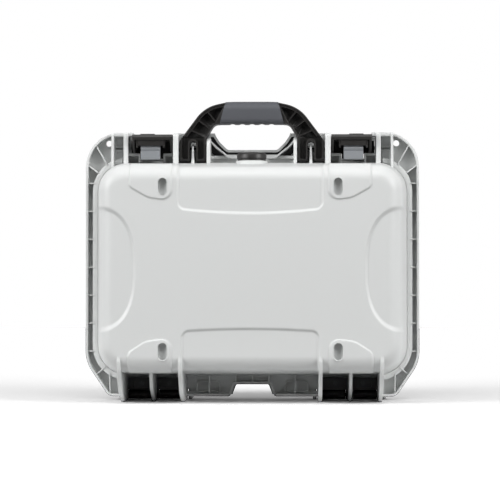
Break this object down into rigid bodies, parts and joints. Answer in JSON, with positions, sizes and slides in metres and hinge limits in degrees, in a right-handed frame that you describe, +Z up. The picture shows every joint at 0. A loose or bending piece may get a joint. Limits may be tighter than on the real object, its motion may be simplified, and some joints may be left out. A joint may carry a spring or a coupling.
{
  "type": "drone carrying case",
  "caption": "Hard plastic carrying case for a folding drone: hinged foam-lined shells, two lever latches, folding handle and pressure valve.",
  "frame": {"origin": "centre of the bounding box's foot, on the surface that the case stands on, hinge side down", "axes": "+X across the case to the right as seen from the base side, +Y from the base to the lid, +Z up towards the handle"},
  "size_m": [0.424, 0.173, 0.378],
  "materials": {
    "shell": "satin",
    "black_nylon": "satin",
    "grip": "matte",
    "claw": "satin",
    "steel": "satin",
    "seal": "matte",
    "foam": "matte",
    "membrane": "matte"
  },
  "bodies": {
    "base": {"base_shell": "shell", "base_foam_floor": "foam", "base_foam_tray": "foam", "handle_pin_left": "steel", "handle_pin_right": "steel", "valve_body": "black_nylon", "valve_cap": "black_nylon", "valve_oring": "seal", "valve_membrane": "membrane", "valve_nut": "black_nylon", "hinge_base_leaf_left": "black_nylon", "hinge_base_leaf_right": "black_nylon", "hinge_pin_left": "steel", "hinge_pin_right": "steel", "hinge_base_screws": "steel"},
    "lid": {"lid_shell": "shell", "lid_gasket": "seal", "lid_foam": "foam", "hinge_lid_leaf_left": "black_nylon", "hinge_lid_leaf_right": "black_nylon", "hinge_lid_screws": "steel", "latch_pin_left": "steel", "latch_pin_right": "steel"},
    "handle": {"handle_frame": "black_nylon", "handle_grip": "grip"},
    "latch_left": {"latch_lever_left": "black_nylon", "claw_pin_left": "steel", "claw_spring_left": "steel"},
    "claw_left": {"latch_claw_left": "claw"},
    "slide_left": {"latch_slide_left": "black_nylon"},
    "latch_right": {"latch_lever_right": "black_nylon", "claw_pin_right": "steel", "claw_spring_right": "steel"},
    "claw_right": {"latch_claw_right": "claw"},
    "slide_right": {"latch_slide_right": "black_nylon"}
  },
  "joints": [
    {"name": "lid_hinge", "type": "hinge", "parent": "base", "child": "lid", "pos_m": [0, 0.0355, 0.006], "axis": [-1, 0, 0], "range_deg": [0, 105]},
    {"name": "handle_fold", "type": "hinge", "parent": "base", "child": "handle", "pos_m": [0, 0.01, 0.3173], "axis": [1, 0, 0], "range_deg": [0, 90]},
    {"name": "latch_left_swing", "type": "hinge", "parent": "lid", "child": "latch_left", "pos_m": [-0.1283, 0.052, 0.322], "axis": [-1, 0, 0], "range_deg": [0, 95]},
    {"name": "claw_left_release", "type": "hinge", "parent": "latch_left", "child": "claw_left", "pos_m": [-0.1283, 0.004, 0.324], "axis": [-1, 0, 0], "range_deg": [0, 20], "stiffness_Nm_per_rad": 0.02, "springref_deg": -17.19},
    {"name": "slide_left_lock", "type": "slide", "parent": "latch_left", "child": "slide_left", "axis": [1, 0, 0], "range_m": [0, 0.005]},
    {"name": "latch_right_swing", "type": "hinge", "parent": "lid", "child": "latch_right", "pos_m": [0.1283, 0.052, 0.322], "axis": [-1, 0, 0], "range_deg": [0, 95]},
    {"name": "claw_right_release", "type": "hinge", "parent": "latch_right", "child": "claw_right", "pos_m": [0.1283, 0.004, 0.324], "axis": [-1, 0, 0], "range_deg": [0, 20], "stiffness_Nm_per_rad": 0.02, "springref_deg": -17.19},
    {"name": "slide_right_lock", "type": "slide", "parent": "latch_right", "child": "slide_right", "axis": [-1, 0, 0], "range_m": [0, 0.005]}
  ]
}
